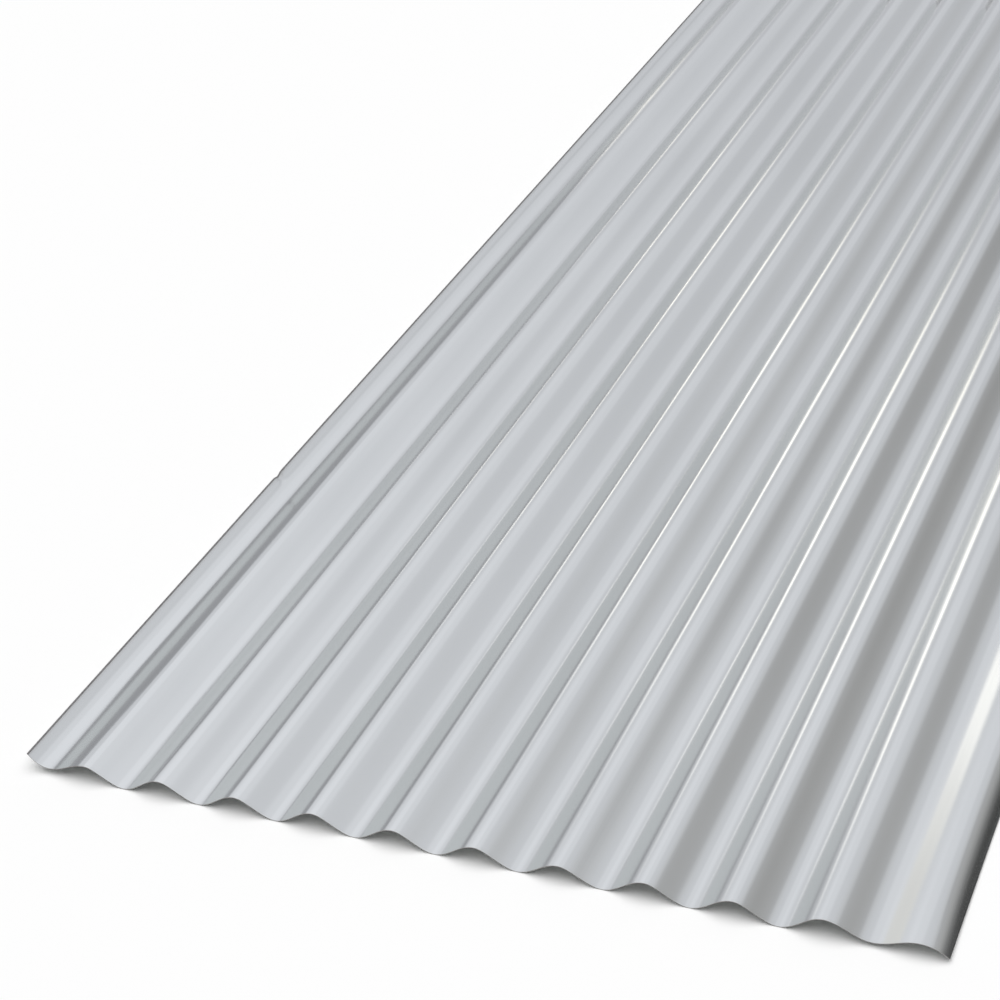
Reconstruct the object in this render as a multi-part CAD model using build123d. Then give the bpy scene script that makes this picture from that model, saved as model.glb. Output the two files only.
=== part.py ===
from build123d import *
import math
import os

# Section of the corrugated sheet, in millimetres: X runs across the waves, Z up
pitch = 76.2  # from crest to crest
depth = 16.3  # from trough to crest, on one face of the metal
flank_flat = 19.0  # straight stretch between the bends of a crest and a trough
gauge = 0.6  # thickness of the metal
length = 2133.6  # along the corrugations
full_crests = 10  # crests of the full height

# Left edge: the first trough is shallower and turns up into a lip
first_trough_rise = 5.6  # height of this trough above the others
left_lip_radius = 22.7  # bend at the foot of the lip
left_lip_angle = 48.0  # slope of the lip in degrees
left_lip_flat = 6.6  # straight stretch up to the edge

# Right edge: the last trough and crest are shallower, and the crest turns down to the edge
last_trough_run = 40.2  # from the last full crest
last_trough_rise = 3.85  # height of this trough above the others
last_crest_run = 38.4  # from the last trough
last_crest_drop = 3.4  # height of this crest below the others
last_flank_flat = 13.0  # straight stretch on each side of the last trough
right_lip_radius = 36.5  # bend from the crest to the lip
right_lip_angle = 39.0  # slope of the lip in degrees
right_lip_flat = 2.0  # straight stretch down to the edge

# Turning points of the middle of the metal from left to right: x, z, and 1 for a crest or -1 for a trough
turns = [(0.0, first_trough_rise, -1)]
for number in range(full_crests):
    turns.append(((number + 0.5) * pitch, depth, 1))
    if number < full_crests - 1:
        turns.append(((number + 1) * pitch, 0.0, -1))
last_trough_x = turns[-1][0] + last_trough_run
turns.append((last_trough_x, last_trough_rise, -1))
turns.append((last_trough_x + last_crest_run, depth - last_crest_drop, 1))


def half_wave(a, b, flat):
    """Bend radius and flank slope between two turning points: two equal bends that meet the straight flank."""
    run = b[0] - a[0]
    rise = b[2] * (b[1] - a[1])
    radius = (run**2 + rise**2 - flat**2) / (4 * rise)
    rest = 2 * radius - rise
    return radius, math.asin(2 * radius / math.hypot(run, rest)) - math.atan2(rest, run)


sides = [(left_lip_radius, math.radians(left_lip_angle))]
flats = [flank_flat] * (len(turns) - 3) + [last_flank_flat] * 2
sides += [half_wave(a, b, flat) for a, b, flat in zip(turns[:-1], turns[1:], flats)]
sides += [(right_lip_radius, math.radians(right_lip_angle))]


def face_line(offset):
    """Bends and flanks of one face of the metal, offset upwards from its middle, from the left edge to the right."""

    def on_bend(turn, radius, angle):
        x, z, way = turn
        reach = radius + way * offset
        return (x + reach * math.sin(angle), 0, z - way * radius + way * reach * math.cos(angle))

    bends = []
    for turn, (r_before, before), (r_after, after) in zip(turns, sides[:-1], sides[1:]):
        if math.isclose(r_before, r_after):
            bends.append([(turn, r_after, -before, after)])
        else:
            bends.append([(turn, r_before, -before, 0.0), (turn, r_after, 0.0, after)])

    start = on_bend(*bends[0][0][:3])
    slope = sides[0][1]
    left = (start[0] - left_lip_flat * math.cos(slope), 0, start[2] + left_lip_flat * math.sin(slope))
    at, edges = left, []
    for bend in bends:
        edges.append(Line(at, on_bend(*bend[0][:3])))
        for turn, radius, a, b in bend:
            edges.append(ThreePointArc(*[on_bend(turn, radius, angle) for angle in (a, (a + b) / 2, b)]))
        at = edges[-1] @ 1
    slope = sides[-1][1]
    right = (at.X + right_lip_flat * math.cos(slope), 0, at.Z - right_lip_flat * math.sin(slope))
    edges.append(Line(at, right))
    return left, edges, right


top_left, top_edges, top_right = face_line(gauge / 2)
low_left, low_edges, low_right = face_line(-gauge / 2)
outline = Wire(top_edges + low_edges + [Line(top_left, low_left), Line(top_right, low_right)])
sheet = extrude(Face(outline), amount=length, dir=(0, 1, 0))

# The sheet lies on the floor with the middle of its width and length over the origin
box = sheet.bounding_box()
sheet = Pos(-box.center().X, -box.center().Y, -box.min.Z) * sheet

os.makedirs("parts", exist_ok=True)
export_step(sheet, "parts/corrugated_sheet.step")
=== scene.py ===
import math

import bpy
from mathutils import Matrix, Vector


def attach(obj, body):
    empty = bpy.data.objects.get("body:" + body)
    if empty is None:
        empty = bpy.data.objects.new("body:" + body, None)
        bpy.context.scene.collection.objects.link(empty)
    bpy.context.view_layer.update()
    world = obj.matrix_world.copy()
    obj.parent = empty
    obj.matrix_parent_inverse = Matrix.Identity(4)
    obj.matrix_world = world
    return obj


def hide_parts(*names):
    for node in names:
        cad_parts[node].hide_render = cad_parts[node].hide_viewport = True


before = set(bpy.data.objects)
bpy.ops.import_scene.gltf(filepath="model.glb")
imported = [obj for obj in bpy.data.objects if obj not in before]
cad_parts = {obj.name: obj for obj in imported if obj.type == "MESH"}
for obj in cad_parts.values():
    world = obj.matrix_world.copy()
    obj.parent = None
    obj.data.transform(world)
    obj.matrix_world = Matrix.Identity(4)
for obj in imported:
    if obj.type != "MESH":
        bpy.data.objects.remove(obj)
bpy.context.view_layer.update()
MM = 0.001

# Section of the sheet, in millimetres: x across the waves from the first trough, z up from the lowest troughs
PITCH, DEPTH, GAUGE, LENGTH, CRESTS = 76.2, 16.3, 0.6, 2133.6, 10
FIRST_RISE, LEFT_RADIUS, LEFT_ANGLE, LEFT_FLAT = 5.6, 22.7, 48.0, 6.6
LAST_RUN, LAST_RISE, LAST_CREST_RUN, LAST_DROP = 40.2, 3.85, 38.4, 3.4
RIGHT_RADIUS, RIGHT_ANGLE, RIGHT_FLAT = 36.5, 39.0, 2.0
# Full waves where they fall to the right: how much flatter than a cosine the flank is, and how much steeper at its top
FLATTER, SKEW = 0.08, 0.05
# Width of the darker strip along the top of the left edge
DARK_STRIP = 1.8
# Points along each flank, and along the bend of each lip
FLANK_STEPS, LIP_STEPS = 16, 8

# Turning points from left to right: x, z, and 1 for a crest or -1 for a trough
turns = [(0.0, FIRST_RISE, -1)]
for number in range(CRESTS):
    turns.append(((number + 0.5) * PITCH, DEPTH, 1))
    if number < CRESTS - 1:
        turns.append(((number + 1) * PITCH, 0.0, -1))
last_trough = turns[-1][0] + LAST_RUN
turns.append((last_trough, LAST_RISE, -1))
turns.append((last_trough + LAST_CREST_RUN, DEPTH - LAST_DROP, 1))


def flank(start, end):
    """Points of the middle of the metal between two turning points: x, z, and the upward normal nx, nz."""
    (x0, z0, _), (x1, z1, _) = start, end
    flatter, skew = (FLATTER, SKEW) if z1 == 0.0 else (0.0, 0.0)
    rise = (z1 - z0) / 2 / (1 + flatter / 3)
    points = []
    for i in range(FLANK_STEPS):
        turn = math.pi * i / FLANK_STEPS
        slope = math.sin(turn) + flatter * math.sin(3 * turn) + skew * math.sin(2 * turn)
        slope *= rise * math.pi / (x1 - x0)
        tall = math.hypot(1, slope)
        drop = math.cos(turn) + flatter / 3 * math.cos(3 * turn) + skew / 2 * (math.cos(2 * turn) - 1)
        x = x0 + (x1 - x0) * i / FLANK_STEPS
        points.append((x, (z0 + z1) / 2 - rise * drop, -slope / tall, 1 / tall))
    return points


def lip(start, radius, angle, flat):
    """Points of a side lip in the same form, outwards from its turning point; a negative angle is for the left."""
    x, z, way = start
    points = []
    for i in range(LIP_STEPS + 1):
        swing = math.radians(angle * i / LIP_STEPS)
        s, c = math.sin(swing), math.cos(swing)
        points.append((x + radius * s, z - way * radius * (1 - c), way * s, c))
    # The flat edge, with a point where the darker strip starts
    x, z, nx, nz = points[-1]
    reach = math.copysign(flat, angle)
    for share in (0.5, 1 - DARK_STRIP / LEFT_FLAT, 1.0):
        points.append((x + share * reach * nz, z - share * reach * nx, nx, nz))
    return points


# The whole section from the left edge to the right edge, and the middle of its width
profile = lip(turns[0], LEFT_RADIUS, -LEFT_ANGLE, LEFT_FLAT)[:0:-1]
for start, end in zip(turns[:-1], turns[1:]):
    profile += flank(start, end)
profile += lip(turns[-1], RIGHT_RADIUS, RIGHT_ANGLE, RIGHT_FLAT)
outer = [x + side * GAUGE / 2 * nx for x, _, nx, _ in profile for side in (-1, 1)]
MIDDLE = (min(outer) + max(outer)) / 2

# Unevenness, in millimetres: crests by number that stand up or down near the cut end, and how far that reaches
UNEVEN_CRESTS, UNEVEN_REACH = ((10, 0.8), (7, -1.1)), 450.0
# Low ripples all over: their height, and how far along and across the two waves in them take to turn by a radian
RIPPLE, RIPPLE_ALONG, RIPPLE_ACROSS = 0.1, (71, 310), (160, 97)
# A small nick in the left edge: how far from the near end, how deep and how wide, and over which x it sets in
NICK, NICK_DEPTH, NICK_WIDTH = 512.0, 2.2, 5.0
NICK_FROM, NICK_RUN = -12.0, 8.0
# The right lip turns down further past the hinge: by how many degrees, and how far from the cut ends it sets in
HINGE, LIP_BEND, LIP_BEND_REACH = turns[-1][0] + 5, 9.0, 70.0


def crest_bump(x, number):
    """1 on a crest, falling to 0 at the troughs beside it."""
    share = (x - (number - 0.5) * PITCH) / PITCH
    return math.cos(math.pi * share) ** 2 if abs(share) < 0.5 else 0.0


def lift(x, y):
    """Small unevenness of the rolled sheet, in millimetres, y from the near end."""
    up = math.exp(-y / UNEVEN_REACH) * sum(height * crest_bump(x, number) for number, height in UNEVEN_CRESTS)
    first, second = (math.sin(y / along + x / across) for along, across in zip(RIPPLE_ALONG, RIPPLE_ACROSS))
    up += RIPPLE * (1 + first) * (0.5 + 0.5 * second)
    up -= NICK_DEPTH * math.exp(-((y - NICK) / NICK_WIDTH) ** 2) * min(max((NICK_FROM - x) / NICK_RUN, 0.0), 1.0)
    return up


def lip_turn(x, z, nx, nz, y):
    """The right lip turns down a little further away from the cut ends."""
    if x <= HINGE:
        return x, z, nx, nz
    angle = math.radians(LIP_BEND) * (1 - math.exp(-min(y, LENGTH - y) / LIP_BEND_REACH))
    s, c = math.sin(angle), math.cos(angle)
    right, up = x - HINGE, z - turns[-1][1]
    return HINGE + c * right + s * up, turns[-1][1] - s * right + c * up, c * nx + s * nz, c * nz - s * nx


# Rows along the sheet: even ones, and closer ones at the nick
EVEN_ROWS, NICK_STEP = 100, 3.0
row_places = [LENGTH * i / EVEN_ROWS for i in range(EVEN_ROWS + 1)]
row_places += [NICK + NICK_STEP * i for i in range(-3, 4)]
row_places.sort()
row_count, point_count = len(row_places) - 1, len(profile)

# Points of the top, then of the underside
verts, faces, slots, rims = [], [], [], []
for side in (1, -1):
    for y in row_places:
        for point in profile:
            x, z, nx, nz = lip_turn(*point, y)
            verts.append((
                (x + side * GAUGE / 2 * nx - MIDDLE) * MM,
                (y - LENGTH / 2) * MM,
                (z + side * GAUGE / 2 * nz + GAUGE / 2 + lift(x, y)) * MM))
below = point_count * (row_count + 1)
# Faces of both, the leftmost strip of the top in the darker edge material
for row in range(row_count):
    for i in range(point_count - 1):
        a, b = row * point_count + i, (row + 1) * point_count + i
        faces.append((a, a + 1, b + 1, b))
        faces.append((below + a, below + b, below + b + 1, below + a + 1))
        slots += [1 if i == 0 else 0, 0]
# Rims of the cut ends, then of the side edges
for i in range(point_count - 1):
    rims.append((i, below + i, below + i + 1, i + 1))
    far = row_count * point_count + i
    rims.append((far, far + 1, below + far + 1, below + far))
for row in range(row_count):
    a, b = row * point_count, (row + 1) * point_count
    rims.append((a, b, below + b, below + a))
    a, b = a + point_count - 1, b + point_count - 1
    rims.append((a, below + a, below + b, b))

SHARP_ANGLE = 40.0
mesh = bpy.data.meshes.new("corrugated_sheet_skin")
mesh.from_pydata(verts, [], faces + rims)
mesh.polygons.foreach_set("material_index", slots + [1] * len(rims))
mesh.polygons.foreach_set("use_smooth", [True] * (len(faces) + len(rims)))
mesh.set_sharp_from_angle(angle=math.radians(SHARP_ANGLE))
mesh.validate()
mesh.update()
skin = bpy.data.objects.new("corrugated_sheet_skin", mesh)
bpy.context.scene.collection.objects.link(skin)


def new_material(name):
    """A material with its node tree and its shader."""
    material = bpy.data.materials.new(name)
    material.use_nodes = True
    tree = material.node_tree
    return material, tree, tree.nodes["Principled BSDF"]


def noise(tree, coordinates, scale, detail, stretch=(1, 1, 1)):
    """A noise texture in the sheet's own metres, stretched along its axes."""
    mapping = tree.nodes.new("ShaderNodeMapping")
    mapping.inputs["Scale"].default_value = stretch
    tree.links.new(coordinates, mapping.inputs["Vector"])
    texture = tree.nodes.new("ShaderNodeTexNoise")
    texture.inputs["Scale"].default_value = scale
    texture.inputs["Detail"].default_value = detail
    tree.links.new(mapping.outputs["Vector"], texture.inputs["Vector"])
    return texture.outputs["Fac"]


# The middle of a noise, where most of its values are
NOISE_LOW, NOISE_HIGH = 0.3, 0.7


def ramp(tree, value, low_colour, high_colour):
    """Goes from one colour to another over the middle of a noise."""
    node = tree.nodes.new("ShaderNodeValToRGB")
    ends = ((NOISE_LOW, low_colour), (NOISE_HIGH, high_colour))
    for element, (position, colour) in zip(node.color_ramp.elements, ends):
        element.position, element.color = position, (*colour, 1)
    tree.links.new(value, node.inputs["Fac"])
    return node.outputs["Color"]


def spread(tree, value, low_value, high_value, start=NOISE_LOW, stop=NOISE_HIGH):
    """Maps a stretch of a value, such as the middle of a noise, to a range of values."""
    node = tree.nodes.new("ShaderNodeMapRange")
    node.inputs["From Min"].default_value, node.inputs["From Max"].default_value = start, stop
    node.inputs["To Min"].default_value, node.inputs["To Max"].default_value = low_value, high_value
    tree.links.new(value, node.inputs["Value"])
    return node.outputs["Result"]


# Zinc coating: even pale grey with a faint cloud, and fine lines along the rolling direction
zinc, tree, shader = new_material("zinc_coated_steel")
coordinates = tree.nodes.new("ShaderNodeTexCoord").outputs["Object"]
cloud = noise(tree, coordinates, 9.0, 4.0, (1, 0.35, 1))
lines = noise(tree, coordinates, 420.0, 2.0, (1, 0.012, 1))
shader.inputs["Metallic"].default_value = 1.0
shader.inputs["Specular Tint"].default_value = (0.94, 0.94, 0.94, 1.0)
colour = ramp(tree, cloud, (0.66, 0.68, 0.664), (0.685, 0.705, 0.688))
tree.links.new(colour, shader.inputs["Base Color"])
tree.links.new(spread(tree, lines, 0.14, 0.18), shader.inputs["Roughness"])
bump = tree.nodes.new("ShaderNodeBump")
bump.inputs["Strength"].default_value = 0.05
bump.inputs["Distance"].default_value = 0.0002
tree.links.new(lines, bump.inputs["Height"])
tree.links.new(bump.outputs["Normal"], shader.inputs["Normal"])

# Cut edges in duller bare steel, and the same darker material on a strip along the top of the left edge
edge, tree, shader = new_material("sheared_edge")
coordinates = tree.nodes.new("ShaderNodeTexCoord").outputs["Object"]
grain = noise(tree, coordinates, 300.0, 3.0)
shader.inputs["Metallic"].default_value = 1.0
colour = ramp(tree, grain, (0.27, 0.26, 0.25), (0.42, 0.41, 0.40))
tree.links.new(colour, shader.inputs["Base Color"])
tree.links.new(spread(tree, grain, 0.4, 0.55), shader.inputs["Roughness"])

mesh.materials.append(zinc)
mesh.materials.append(edge)
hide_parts("corrugated_sheet")
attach(skin, "root")


def seen_directly(tree):
    """1 for what the camera, a mirror or glass sees, 0 for the light that falls on a surface."""
    path = tree.nodes.new("ShaderNodeLightPath")
    value = path.outputs["Is Camera Ray"]
    for name in ("Is Glossy Ray", "Is Transmission Ray"):
        either = tree.nodes.new("ShaderNodeMath")
        either.operation = "MAXIMUM"
        tree.links.new(value, either.inputs[0])
        tree.links.new(path.outputs[name], either.inputs[1])
        value = either.outputs["Value"]
    return value


# White surroundings
AMBIENT = 0.22
world = bpy.data.worlds.new("studio")
world.use_nodes = True
bpy.context.scene.world = world
tree = world.node_tree
background = tree.nodes["Background"]
background.inputs["Color"].default_value = (1.0, 1.0, 1.0, 1.0)
tree.links.new(spread(tree, seen_directly(tree), AMBIENT, 1.0, 0.0, 1.0), background.inputs["Strength"])

# Pale floor, a hair below the sheet
FLOOR_REACH, FLOOR_HEIGHT = 30.0, -0.0001
floor_mesh = bpy.data.meshes.new("floor")
corners = [(FLOOR_REACH * x, FLOOR_REACH * y, FLOOR_HEIGHT) for x, y in ((-1, -1), (1, -1), (1, 1), (-1, 1))]
floor_mesh.from_pydata(corners, [], [(0, 1, 2, 3)])
floor = bpy.data.objects.new("floor", floor_mesh)
bpy.context.scene.collection.objects.link(floor)
paint, tree, shader = new_material("floor_paint")
shader.inputs["Base Color"].default_value = (0.97, 0.97, 0.97, 1.0)
shader.inputs["Roughness"].default_value = 0.9
shader.inputs["Specular IOR Level"].default_value = 0.0
floor_mesh.materials.append(paint)


def panel(name, columns, rows, place, light, one_sided=False):
    """A glowing studio panel that only the metal mirrors, as a grid.

    place gives the point at the shares u and v of the grid, and light gives the colour at a point.
    A panel that is one-sided can't be seen from behind.
    """
    points, colours, quads = [], [], []
    for i in range(columns + 1):
        for j in range(rows + 1):
            at = place(i / columns, j / rows)
            points.append(at)
            colours += [*light(*at), 1.0]
    for i in range(columns):
        for j in range(rows):
            k = i * (rows + 1) + j
            quads.append((k, k + 1, k + rows + 2, k + rows + 1))
    grid = bpy.data.meshes.new(name)
    grid.from_pydata(points, [], quads)
    grid.color_attributes.new("light", "FLOAT_COLOR", "POINT").data.foreach_set("color", colours)
    thing = bpy.data.objects.new(name, grid)
    bpy.context.scene.collection.objects.link(thing)
    material = bpy.data.materials.new(name)
    material.use_nodes = True
    material.cycles.emission_sampling = "NONE"
    tree = material.node_tree
    tree.nodes.remove(tree.nodes["Principled BSDF"])
    glow = tree.nodes.new("ShaderNodeEmission")
    stored = tree.nodes.new("ShaderNodeAttribute")
    stored.attribute_name = "light"
    tree.links.new(stored.outputs["Color"], glow.inputs["Color"])
    surface = glow.outputs["Emission"]
    if one_sided:
        clear, mix = tree.nodes.new("ShaderNodeBsdfTransparent"), tree.nodes.new("ShaderNodeMixShader")
        behind = tree.nodes.new("ShaderNodeNewGeometry").outputs["Backfacing"]
        for source, socket in ((behind, 0), (surface, 1), (clear.outputs["BSDF"], 2)):
            tree.links.new(source, mix.inputs[socket])
        surface = mix.outputs["Shader"]
    tree.links.new(surface, tree.nodes["Material Output"].inputs["Surface"])
    grid.materials.append(material)
    for ray in ("camera", "diffuse", "transmission", "volume_scatter", "shadow"):
        setattr(thing, "visible_" + ray, False)


def fade(value):
    """Goes softly from 0 to 1 around 0."""
    return 1 / (1 + math.exp(-min(max(value, -40.0), 40.0)))


def hump(value, middle, width):
    """1 at the middle, falling softly to 0 on both sides."""
    return math.exp(-0.5 * ((value - middle) / width) ** 2)


def by_stops(value, stops):
    """Straight lines between (position, level) stops, and level before the first and after the last."""
    for (a, low), (b, high) in zip(stops[:-1], stops[1:]):
        if value <= b:
            return low + (high - low) * max(0.0, (value - a) / (b - a))
    return stops[-1][1]


def tinted(level, warm):
    """Light that goes from bluish to yellowish."""
    return level * (0.995 + 0.035 * warm), level, level * (1.07 - 0.1 * warm)


def flat_panel(corner, across, along):
    """Places on a flat panel: from a corner, u goes across it and v along it."""
    return lambda u, v: tuple(c + u * a + v * b for c, a, b in zip(corner, across, along))


def even(level):
    """The same bluish light all over a panel."""
    return lambda x, y, z: tinted(level, 0.0)


# Overhead: a soft white dome with a low bright band on the left. In degrees, side is from straight up to the right,
# ahead is from the line across the sheet to the far end, and low is up from the left horizon
DOME, DOME_SIDE, DOME_AHEAD = 25.0, 96.0, 88.0
DOME_STOPS = [(40.0, 1.01), (64.0, 0.818)]
# How much dimmer it is low on the left, and how light it is low on the right, and where these start
LOW_LEFT_DIM, LOW_LEFT, LOW_RIGHT_LEVEL, LOW_RIGHT = 0.14, 42.0, 0.1, 60.0
# The band by ahead: where it starts and ends, its height, its light, its width downwards and upwards
BAND_START, BAND_END = 48.3, 61.4
BAND_HEIGHT, BAND_LIGHT = [(44.0, 25.9), (62.0, 4.3)], [(54.0, 1.6), (62.0, 0.8)]
BAND_DOWN, BAND_UP = [(54.0, 3.0), (62.0, 9.4)], [(54.0, 1.8), (62.0, 5.8)]
BAND_WARM = 1.4
# The light below the band by ahead, how far below it starts, and from where ahead
UNDER_LIGHT, UNDER_GAP, UNDER_START = [(44.0, 0.609), (62.0, 0.915)], 4.0, 20.0


def on_dome(u, v):
    side = math.radians(-DOME_SIDE + 2 * DOME_SIDE * u)
    ahead = math.radians(-DOME_AHEAD + 2 * DOME_AHEAD * v)
    flat = DOME * math.cos(ahead)
    return flat * math.sin(side), DOME * math.sin(ahead), flat * math.cos(side)


def dome_light(x, y, z):
    side, ahead = math.degrees(math.atan2(x, z)), math.degrees(math.asin(min(1.0, y / DOME)))
    low = 90 + side
    level = by_stops(ahead, DOME_STOPS)
    level -= LOW_LEFT_DIM * fade((LOW_LEFT - low) / 4)
    level += (LOW_RIGHT_LEVEL - level) * fade((side - LOW_RIGHT) / 3)
    middle = by_stops(ahead, BAND_HEIGHT)
    under = fade((middle - UNDER_GAP - low) / 2) * fade((ahead - UNDER_START) / 4)
    level += (by_stops(ahead, UNDER_LIGHT) - level) * under
    width = by_stops(ahead, BAND_DOWN if low < middle else BAND_UP)
    band = hump(low, middle, width) * fade((BAND_END - ahead) / 0.4) * fade((ahead - BAND_START) / 1.2)
    return tinted(level + by_stops(ahead, BAND_LIGHT) * band, BAND_WARM * band)


panel("light_dome", 96, 88, on_dome, dome_light)

# Right: a low ceiling, its light by x dimmer away from the sheet, and by y a little dimmer to the far end
FLAG_LEFT, FLAG_RIGHT, FLAG_HEIGHT = -0.35, 7.5, 1.2
FLAG_NEAR, FLAG_LENGTH = -4.0, 14.0
FLAG_STOPS = [
    (FLAG_LEFT, 0.93), (0.17, 0.92), (0.3, 0.82), (0.62, 0.8), (0.75, 0.77), (0.87, 0.73), (1.0, 0.55),
    (1.25, 0.53), (1.5, 0.45), (1.96, 0.26), (2.9, 0.12), (FLAG_RIGHT, 0.05)]
FLAG_FAR = [(0.4, 1.0), (3.0, 0.87)]
FLAG_WARM = [(0.6, 0.0), (1.4, 0.5)]


def flag_light(x, y, z):
    return tinted(by_stops(x, FLAG_STOPS) * by_stops(y, FLAG_FAR), by_stops(x, FLAG_WARM))


on_flag = flat_panel(
    (FLAG_LEFT, FLAG_NEAR, FLAG_HEIGHT), (FLAG_RIGHT - FLAG_LEFT, 0.0, 0.0), (0.0, FLAG_LENGTH, 0.0))
panel("right_flag", 157, 12, on_flag, flag_light)

# Left: a dark wedge beside the sheet, its height by y lower towards the far end, and lighter at its foot
WEDGE, WEDGE_FOOT, WEDGE_NEAR, WEDGE_FAR = -0.68, 0.002, -2.0, 1.3
WEDGE_LEVEL, FOOT_LEVEL, FOOT_HEIGHT = 0.42, 0.16, 0.03
WEDGE_STOPS = [
    (WEDGE_NEAR, 0.18), (-0.72, 0.18), (-0.55, 0.25), (-0.4, 0.2), (-0.2, 0.185), (0.03, 0.155), (0.24, 0.155),
    (0.5, 0.14), (0.62, 0.12), (0.8, 0.08), (1.0, 0.055), (WEDGE_FAR, 0.0)]


def on_wedge(u, v):
    y = WEDGE_NEAR + (WEDGE_FAR - WEDGE_NEAR) * u
    return WEDGE, y, WEDGE_FOOT + v * by_stops(y, WEDGE_STOPS)


def wedge_light(x, y, z):
    return tinted(WEDGE_LEVEL + FOOT_LEVEL * hump(z, 0.0, FOOT_HEIGHT), 0.0)


panel("dark_wedge", 66, 6, on_wedge, wedge_light)

# Close above the left edge: a narrow pale card that only the upturned lip mirrors
PALE_LEVEL = 0.82
on_pale_card = flat_panel((-0.3965, -1.2, 0.035), (0.0165, 0.0, 0.0), (0.0, 2.6, 0.0))
panel("pale_card", 1, 1, on_pale_card, even(PALE_LEVEL))

# Close above the last full wave: a narrow bright card, its light by y, that only the flank of the last wave mirrors
CARD_WARM = 0.8
CARD_STOPS = [
    (-1.1, 0.88), (-0.94, 0.92), (-0.877, 1.0), (-0.797, 1.16), (-0.71, 1.42), (-0.63, 1.52), (-0.3, 1.55),
    (0.1, 0.9)]


def card_light(x, y, z):
    return tinted(by_stops(y, CARD_STOPS), CARD_WARM)


on_bright_card = flat_panel((0.3359, -1.1, 0.034), (-0.0088, 0.0, 0.018), (0.0, 1.2, 0.0))
panel("bright_card", 1, 48, on_bright_card, card_light, one_sided=True)

# Behind: a dim panel past the far end that only the metal mirrors, a painted shadow of the floor there
FAR_SHADOW_LEVEL = 0.3
on_far_floor_shadow = flat_panel((-0.6, 1.075, 0.003), (1.2, 0.0, 0.0), (0.0, 0.5, 0.0))
panel("far_floor_shadow", 1, 1, on_far_floor_shadow, even(FAR_SHADOW_LEVEL))

# Soft light from straight above, even all over the floor; the metal mirrors the panels instead of it
SUN_LEVEL, SUN_WIDTH = 0.8, 84.0
overhead = bpy.data.lights.new("overhead", "SUN")
overhead.energy, overhead.angle = SUN_LEVEL * math.pi, math.radians(SUN_WIDTH)
overhead_lamp = bpy.data.objects.new("overhead", overhead)
for ray in ("camera", "glossy", "transmission"):
    setattr(overhead_lamp, "visible_" + ray, False)
bpy.context.scene.collection.objects.link(overhead_lamp)

# Camera at the photograph's viewing angle, placed in the section's millimetres with y from the near end
YAW, ELEVATION, ROLL = (math.radians(angle) for angle in (24.297, 31.237, -4.445))
CAMERA_X, CAMERA_Y, CAMERA_Z = 1132.69, -1470.72, 1348.91
SENSOR, LENS = 36.0, 88.838
reach = math.cos(ELEVATION)
forward = Vector((-math.sin(YAW) * reach, math.cos(YAW) * reach, -math.sin(ELEVATION)))
sideways = Vector((math.cos(YAW), math.sin(YAW), 0.0))
upright = sideways.cross(forward)
right = math.cos(ROLL) * sideways + math.sin(ROLL) * upright
up = -math.sin(ROLL) * sideways + math.cos(ROLL) * upright
camera_data = bpy.data.cameras.new("camera")
camera_data.sensor_width, camera_data.lens = SENSOR, LENS
camera = bpy.data.objects.new("camera", camera_data)
turned = Matrix((right, up, -forward)).transposed().to_4x4()
moved = Matrix.Translation(((CAMERA_X - MIDDLE) * MM, (CAMERA_Y - LENGTH / 2) * MM, CAMERA_Z * MM))
camera.matrix_world = moved @ turned
bpy.context.scene.collection.objects.link(camera)
bpy.context.scene.camera = camera

bpy.context.scene.view_settings.view_transform = "Standard"
